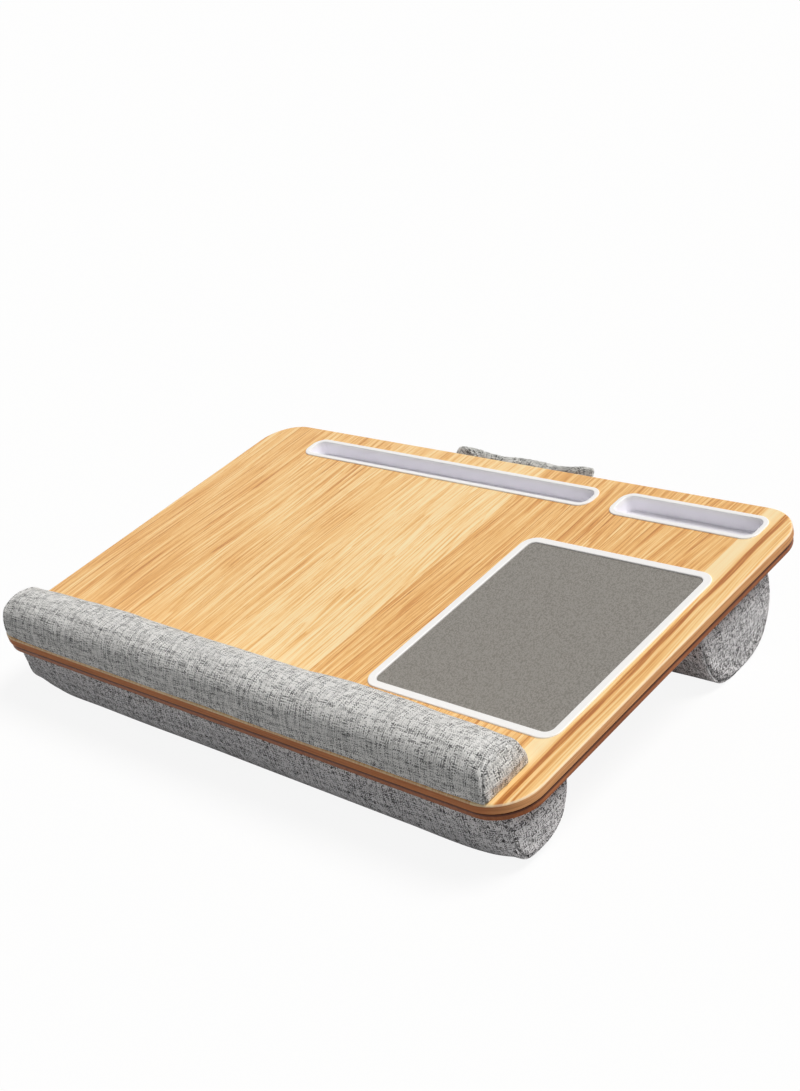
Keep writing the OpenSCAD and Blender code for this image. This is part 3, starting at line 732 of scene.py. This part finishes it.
# %% Stuffing
def stuff(piece, pinned, pressure, cap):
    """Press the cloth outwards from inside for twenty frames and keep the result."""
    start = points_of(piece)
    group = piece.vertex_groups.new(name="held")
    group.add([int(k) for k in np.flatnonzero(pinned)], 1.0, "REPLACE")
    modifier = piece.modifiers.new("cloth", "CLOTH")
    settings = modifier.settings
    settings.quality = 6
    settings.mass = 0.25
    settings.tension_stiffness = settings.compression_stiffness = 28
    settings.shear_stiffness = 12
    settings.bending_stiffness = 1.4
    settings.use_pressure = True
    settings.uniform_pressure_force = pressure
    settings.shrink_min = -0.012  # the cloth is cut a little loose
    settings.vertex_group_mass = "held"
    settings.effector_weights.gravity = 0
    modifier.collision_settings.use_collision = False
    modifier.point_cache.frame_start, modifier.point_cache.frame_end = 1, 20
    for step in range(1, 21):
        bpy.context.scene.frame_set(step)
    shaped = piece.evaluated_get(bpy.context.evaluated_depsgraph_get())
    moved = points_of(shaped) - start
    piece.modifiers.remove(modifier)
    bpy.context.scene.frame_set(1)
    far = np.linalg.norm(moved, axis=1, keepdims=True)
    moved *= np.minimum(1, cap / np.maximum(far, 1e-9))
    set_points(piece, start + moved)
    return float(far.max()), float(far.mean())


def pull_seam(piece, deep, pucker):
    """Sink the seam and dimple the cloth beside it where the stitches hold."""
    weight = weights_of(piece, "seam")
    points, normals = points_of(piece), normals_of(piece)
    board = to_board(points)
    angle = np.arctan2(board[:, 2] - board[:, 2].mean(), board[:, 1] - board[:, 1].mean())
    rng = np.random.default_rng(11)
    wave = sum(a * np.sin(angle * k + p) for k, a, p in zip(
        (17, 29, 43, 61), (0.5, 0.35, 0.3, 0.2), rng.uniform(0, 6.28, 4)))
    beside = np.clip(weight * (1 - weight) * 4, 0, 1)
    set_points(piece, points - normals * (deep * weight ** 1.5 + pucker * beside * wave)[:, None])


def crush(piece, depth, seed):
    """A slow unevenness, as loose filling gives: a sum of a few long waves along and round the cushion."""
    points, normals = points_of(piece), normals_of(piece)
    board = to_board(points)
    rng = np.random.default_rng(seed)
    uneven = np.zeros(len(points))
    for _ in range(9):
        kx, ky, kz = rng.uniform(14, 60), rng.uniform(10, 60), rng.uniform(10, 60)
        uneven += np.sin(board[:, 0] * kx + rng.uniform(0, 6.28)) * np.sin(
            board[:, 1] * ky + board[:, 2] * kz + rng.uniform(0, 6.28))
    set_points(piece, points + normals * (depth * uneven / 3)[:, None])


def sew_cushion(name, shape, ends, length, middle_y, h, turned, pressure, cap, seed):
    """A finished cushion whose flat side lies on the board's top, turned up, or on its underside.

    shape is the depth of the D's front half and of its back half and its height, in millimetres, and how square
    each half is. ends is the share of those three sizes that is left at the cushion's ends.
    """
    shape = [s * mm for s in shape[:3]] + shape[3:]
    sleeve, rings = wrap_sleeve(name, shape, ends, length)
    panels = [sew_panel(name + side, rings[k], 2.6 * mm, way) for side, k, way in (("_l", 0, -1), ("_r", -1, 1))]
    cushion = join_cloth(sleeve, *panels)
    points = points_of(cushion)
    flat = points[:, 2] > -0.2 * mm
    seam_x = length / 2
    on_seam = np.abs(np.abs(points[:, 0]) - seam_x) < 1e-6
    points[:, 2] *= -1 if turned else 1
    set_points(cushion, from_board(points + np.array([0, middle_y, h])))
    if turned:
        cushion.data.flip_normals()
    seam = cushion.vertex_groups.new(name="seam")
    seam.add([int(k) for k in np.flatnonzero(on_seam)], 1.0, "REPLACE")
    moved = (0, 0)
    moved = stuff(cushion, flat | on_seam, pressure, cap)
    crush(cushion, 0.35 * mm, seed)
    apply_modifier(cushion, "SUBSURF", levels=1, render_levels=1)
    pull_seam(cushion, 1.3 * mm, 0.35 * mm)
    points = to_board(points_of(cushion))
    if turned:
        points[:, 2] = np.maximum(points[:, 2], h + 0.02 * mm)
    else:
        points[:, 2] = np.minimum(points[:, 2], h - 0.02 * mm)
    points = from_board(points)
    points[:, 2] = np.maximum(points[:, 2], 0.0)
    set_points(cushion, points)
    # the seam weights are kept as an attribute for the linen, which paints a shade along the seam
    crease_shade = cushion.data.attributes.new("seam_shade", "FLOAT", "POINT")
    crease_shade.data.foreach_set("value", weights_of(cushion, "seam"))
    cushion.data.shade_smooth()
    print(name, "points:", len(points), "moved most and on average, in mm:", [round(v * 1000, 2) for v in moved])
    return cushion


def settle(piece, node_names, body, material):
    """Give a soft piece its material, hide the parts of the frame that it stands for and attach it to the body it
    rides on.
    """
    piece.data.materials.clear()
    piece.data.materials.append(material)
    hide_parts(*node_names)
    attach(piece, body)


print("stuffing ready")

# %% [markdown]
# The wrist rest lies along the front edge of the wood, flat side down. Its foam is firm, so the cloth is
# tight and the ends are crisp.

# %% Wrist rest
rest = sew_cushion("wrist_rest", [22.56, 24.44, 28, 2.8, 2.6], (0.95, 0.88, 0.887), 480 * mm, 23.06 * mm, 0.0,
                   True, pressure=2.0, cap=0.8 * mm, seed=3)
settle(rest, ("wrist_rest_cover", "wrist_rest_foam"), "desk", rest_linen)

# %% [markdown]
# The two bolsters hang below the base board and carry the desk. They are softer, so their cloth may move a
# little more, and they are flat where they stand.

# %% Bolsters
front = sew_cushion("front_bolster", [28.5, 34.0, 47, 4, 2.2], (0.84, 0.98, 0.868), 490 * mm, 33.5 * mm,
                    -board_thick, False, pressure=3.0, cap=1.1 * mm, seed=5)
settle(front, ("front_bolster_cover", "front_bolster_filling"), "desk", bolster_linen)
rear = sew_cushion("rear_bolster", [40.02, 46.98, 62, 4, 2.45], (0.98, 0.98, 0.988), 490 * mm, 251.52 * mm,
                   -board_thick, False, pressure=3.0, cap=1.1 * mm, seed=7)
settle(rear, ("rear_bolster_cover", "rear_bolster_filling"), "desk", bolster_linen)

# %% [markdown]
# The carry strap is one band of the same linen. Each end lies flat under the base board, where two screws hold
# it. From there the band turns the corner beside the board and curls into a tube, whose two edges are sewn
# together underneath to make the grip. A bent cylinder would be the quick way, but it has no flat ends, no edges
# and no folds. So the band is a flat grid again, and each of its rows is laid across the strap's path as an arc
# of the band's true width: the closer its two edges come together, the more the arc curls.

# %% Strap
strap_wide, cells_wide = 24.0, 24
strap_inner, strap_outer, grip_half = 44.5, 68.5, 26.2  # places across the board, in millimetres
hinge_y, cloth_h = 334.2, -13.7
curls = np.linspace(0.001, 3.12, 400)


def lay_across(inner, outer, wider=1, lower=1):
    """The points across the band between its two edges, curled upwards to keep the band's width.

    Cloth in the hand is pressed, so the curl may be made wider and lower than a true arc.
    """
    inner, outer = np.array(inner, float), np.array(outer, float)
    apart = np.linalg.norm(outer - inner)
    half_turn = np.interp(-min(apart / strap_wide, 0.9999), -np.sin(curls) / curls, curls)
    radius = strap_wide / 2 / half_turn
    turn = np.linspace(-1, 1, cells_wide + 1) * half_turn
    across = radius * np.sin(turn) * wider
    up = radius * (np.cos(turn) - np.cos(half_turn)) * lower
    way = (outer - inner) / apart
    return (inner + outer) / 2 + across[:, None] * way + up[:, None] * np.array([0, 0, 1.0])


def grip_line(x):
    return board_deep + 16 - 2.5 * (x / strap_inner) ** 2


def bent_line(points, count):
    """A smooth line through the points, as a row of places."""
    points = np.array(points, float)
    knots = np.vstack([2 * points[0] - points[1], points, 2 * points[-1] - points[-2]])
    line = []
    for u in np.linspace(0, len(points) - 1, count):
        k = min(int(u), len(points) - 2)
        t = u - k
        a, b, c, d = knots[k:k + 4]
        line.append(b + ((c - a) * t + (2 * a - 5 * b + 4 * c - d) * t * t + (3 * b - a - 3 * c + d) * t ** 3) / 2)
    return line


rows, turn_rows = [], 48
for y in np.linspace(311.2, hinge_y, 9):
    rows.append(lay_across((strap_inner, y, cloth_h), (strap_outer, y, cloth_h)))
# beyond the board the band rises behind the wood, the outer edge more than the inner one, and then turns in
inner_edge = bent_line([(44.5, 334.2, -13.7), (44.6, 336.2, -13.2), (44.8, 338.4, -12.8), (45.0, 340.4, -12.5),
                        (45.0, 342.4, -12.5), (44.6, 344.6, -12.7), (42.0, 346.6, -13.2), (34.5, 347.4, -14.6),
                        (26.2, 347.7, -15.8)], turn_rows + 1)
outer_edge = bent_line([(68.5, 334.2, -13.7), (68.4, 338.2, -11.2), (67.9, 342.8, -7.8), (66.2, 347.0, -5.2),
                        (60.5, 349.8, -7.4), (53.5, 350.8, -10.2), (46.5, 350.4, -12.4), (36.5, 349.3, -14.2),
                        (26.2, 348.5, -15.8)], turn_rows + 1)
for k in range(1, turn_rows + 1):
    share = k / turn_rows
    flattened = 1 - 0.28 * share - 0.35 * math.sin(math.pi * share)
    rows.append(lay_across(inner_edge[k], outer_edge[k], 1 + 0.3 * share, flattened))
for x in np.linspace(grip_half, 0, 22)[1:]:
    low = -15.8 + 1.0 * (1 - (x / grip_half) ** 2)
    rows.append(lay_across((x, grip_line(x) - 0.35, low), (x, grip_line(x) + 0.35, low), 1.3, 0.72))
half = np.array(rows)
other = half[-2::-1] * np.array([-1, 1, 1])
band = np.concatenate([half, other])
steps = np.linalg.norm(np.diff(band[:, cells_wide // 2], axis=0), axis=1)
run = np.concatenate([[0], np.cumsum(steps)])
print("rows of the strap:", len(band), "length along its middle, mm:", round(run[-1], 1))

# %% [markdown]
# Gathered cloth is never smooth. Short creases run round the grip, and longer ones spread out from the corner
# where the band turns, so each point is moved a little along the surface's own normal. Then the sheet gets its
# thickness.

# %% Creases and thickness
strap, i, j = flat_cloth("carry_band", len(band) - 1, cells_wide)
width_at = np.linspace(0, strap_wide, cells_wide + 1)
lay_out(strap, from_board(band[i, j] * mm), np.stack([run[i] + 30, width_at[j]], 1))
rng = np.random.default_rng(9)
place, side = run[i], (j / cells_wide - 0.5) * 2
gathered = np.clip((44 - np.abs(band[i, j][:, 0])) / 12, 0, 1)
turning = np.clip(1 - np.abs(np.abs(band[i, j][:, 0]) - 50) / 12, 0, 1) * (band[i, j][:, 1] > 335.2)
ripple = sum(rng.uniform(0.4, 1) * np.sin(place * k + side * m + rng.uniform(0, 6.28)) for k, m in (
    (1.25, 1.0), (1.7, -2.2), (0.85, 2.6), (2.3, 0.6)))
strap_points = points_of(strap) + normals_of(strap) * ((0.20 * gathered + 0.28 * turning) * ripple * mm)[:, None]
set_points(strap, strap_points)
apply_modifier(strap, "SOLIDIFY", thickness=1.75 * mm, offset=0, use_even_offset=False)
apply_modifier(strap, "SUBSURF", levels=1, render_levels=1)
strap.data.shade_smooth()
strap.data.materials.clear()
strap.data.materials.append(strap_linen)
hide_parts("carry_strap", "strap_tabs")
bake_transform(strap)
print("strap points:", len(strap.data.vertices))
